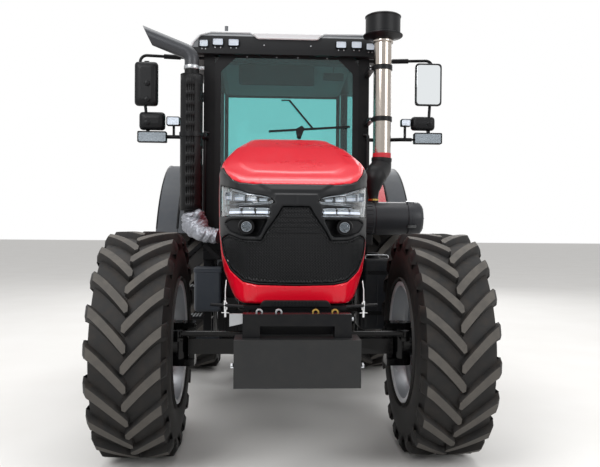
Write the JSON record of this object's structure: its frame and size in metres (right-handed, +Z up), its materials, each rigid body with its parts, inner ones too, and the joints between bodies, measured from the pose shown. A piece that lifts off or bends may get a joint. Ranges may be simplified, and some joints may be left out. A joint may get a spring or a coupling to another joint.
{
  "type": "four-wheel-drive farm tractor with cab",
  "caption": "Farm tractor with a glazed cab, lugged tyres, sloping bonnet, exhaust stack, chrome air intake, ballast block in front and a lower-link hitch behind",
  "frame": {"origin": "on the ground, under the centre of the machine's bounding box", "axes": "+Z up, the nose faces -Y, the driver's left hand is +X"},
  "size_m": [2.702, 4.89, 3.36],
  "materials": {
    "red_paint": "gloss",
    "grey_paint": "satin",
    "black_paint": "satin",
    "silver_paint": "satin",
    "cast": "satin",
    "steel": "satin",
    "chrome_pipe": "polished",
    "black_plastic": "matte",
    "tank_plastic": "satin",
    "lamp": "gloss",
    "tyre_rubber": "matte",
    "hose_rubber": "matte",
    "tinted_glass": "polished",
    "mirror_housing": "satin",
    "seat_cloth": "matte"
  },
  "bodies": {
    "chassis": {"front_bolster": "black_paint", "front_block": "grey_paint", "engine_block": "grey_paint", "radiator": "black_paint", "transmission": "cast", "front_axle": "cast", "cab_floor": "black_paint", "cab_walls": "black_paint", "cab_pillars": "black_paint", "cab_glass": "tinted_glass", "cab_roof": "grey_paint", "side_panels": "black_paint", "mudguards": "red_paint", "guard_flares": "grey_paint", "dashboard": "black_plastic", "seat": "seat_cloth", "exhaust_pipe": "black_paint", "exhaust_shield": "black_paint", "intake_pipe": "chrome_pipe", "precleaner": "black_plastic", "intake_elbow": "hose_rubber", "air_filter": "black_plastic", "fuel_tank": "tank_plastic", "tool_box": "grey_paint", "steps": "black_paint", "mirror_arms": "black_paint", "mirrors": "mirror_housing", "marker_lamps": "lamp", "work_lamps": "lamp", "wiper": "black_plastic", "hitch_brackets": "cast", "drawbar": "steel", "top_link": "steel"},
    "bonnet": {"bonnet": "red_paint", "nose_mask": "black_plastic", "grille": "black_plastic", "side_grilles": "black_plastic", "headlamps": "lamp"},
    "door_left": {"door_left": "black_paint", "door_glass_left": "tinted_glass"},
    "door_right": {"door_right": "black_paint", "door_glass_right": "tinted_glass"},
    "steering_wheel": {"steering_wheel": "black_plastic"},
    "steering_rod": {"steering_rod": "steel"},
    "knuckle_left": {"knuckle_left": "cast"},
    "knuckle_right": {"knuckle_right": "cast"},
    "front_wheel_left": {"front_rim_left": "silver_paint", "front_tyre_left": "tyre_rubber"},
    "front_wheel_right": {"front_rim_right": "silver_paint", "front_tyre_right": "tyre_rubber"},
    "rear_wheel_left": {"rear_rim_left": "silver_paint", "rear_tyre_left": "tyre_rubber"},
    "rear_wheel_right": {"rear_rim_right": "silver_paint", "rear_tyre_right": "tyre_rubber"},
    "lower_links": {"lower_links": "steel"},
    "lift_arms": {"lift_arms": "steel"},
    "lift_rods": {"lift_rods": "steel"},
    "pto_shaft": {"pto_shaft": "steel"}
  },
  "joints": [
    {"name": "bonnet_hinge", "type": "hinge", "parent": "chassis", "child": "bonnet", "pos_m": [0, -0.253, 2.17], "axis": [-1, 0, 0], "range_deg": [0, 45]},
    {"name": "door_left_hinge", "type": "hinge", "parent": "chassis", "child": "door_left", "pos_m": [0.85, 0.958, 2.6], "axis": [0, 0, 1], "range_deg": [0, 68]},
    {"name": "door_right_hinge", "type": "hinge", "parent": "chassis", "child": "door_right", "pos_m": [-0.85, 0.958, 2.6], "axis": [0, 0, -1], "range_deg": [0, 68]},
    {"name": "steering_wheel_turn", "type": "hinge", "parent": "chassis", "child": "steering_wheel", "pos_m": [0, 0.505, 2.14], "axis": [0, 0.5736, 0.8192], "continuous": true},
    {"name": "steer_left", "type": "hinge", "parent": "chassis", "child": "knuckle_left", "pos_m": [0.76, -1.485, 0.745], "axis": [0, 0, 1], "range_deg": [-24, 24]},
    {"name": "steer_right", "type": "hinge", "parent": "chassis", "child": "knuckle_right", "pos_m": [-0.76, -1.485, 0.745], "axis": [0, 0, 1], "range_deg": [-24, 24]},
    {"name": "steering_rod_slide", "type": "slide", "parent": "chassis", "child": "steering_rod", "axis": [1, 0, 0], "range_m": [-0.1027, 0.1027]},
    {"name": "front_wheel_left_spin", "type": "hinge", "parent": "knuckle_left", "child": "front_wheel_left", "pos_m": [0.98, -1.485, 0.745], "axis": [1, 0, 0], "continuous": true},
    {"name": "front_wheel_right_spin", "type": "hinge", "parent": "knuckle_right", "child": "front_wheel_right", "pos_m": [-0.98, -1.485, 0.745], "axis": [1, 0, 0], "continuous": true},
    {"name": "rear_wheel_left_spin", "type": "hinge", "parent": "chassis", "child": "rear_wheel_left", "pos_m": [0.93, 1.315, 0.975], "axis": [1, 0, 0], "continuous": true},
    {"name": "rear_wheel_right_spin", "type": "hinge", "parent": "chassis", "child": "rear_wheel_right", "pos_m": [-0.93, 1.315, 0.975], "axis": [1, 0, 0], "continuous": true},
    {"name": "lower_links_lift", "type": "hinge", "parent": "chassis", "child": "lower_links", "pos_m": [0, 1.495, 0.52], "axis": [1, 0, 0], "range_deg": [-12, 30]},
    {"name": "lift_arms_lift", "type": "hinge", "parent": "chassis", "child": "lift_arms", "pos_m": [0, 1.495, 1.15], "axis": [1, 0, 0], "range_deg": [-12, 30]},
    {"name": "lift_rods_swing", "type": "hinge", "parent": "lower_links", "child": "lift_rods", "pos_m": [0, 1.945, 0.52], "axis": [1, 0, 0], "range_deg": [-30, 12]},
    {"name": "pto_shaft_spin", "type": "hinge", "parent": "chassis", "child": "pto_shaft", "pos_m": [0, 1.495, 0.7], "axis": [0, 1, 0], "continuous": true}
  ],
  "couplings": [
    {"joint": "steer_right", "follows": "steer_left", "ratio": 1},
    {"joint": "steering_rod_slide", "follows": "steer_left", "m_per_rad": 0.245},
    {"joint": "lift_arms_lift", "follows": "lower_links_lift", "ratio": 1},
    {"joint": "lift_rods_swing", "follows": "lower_links_lift", "ratio": -1}
  ]
}
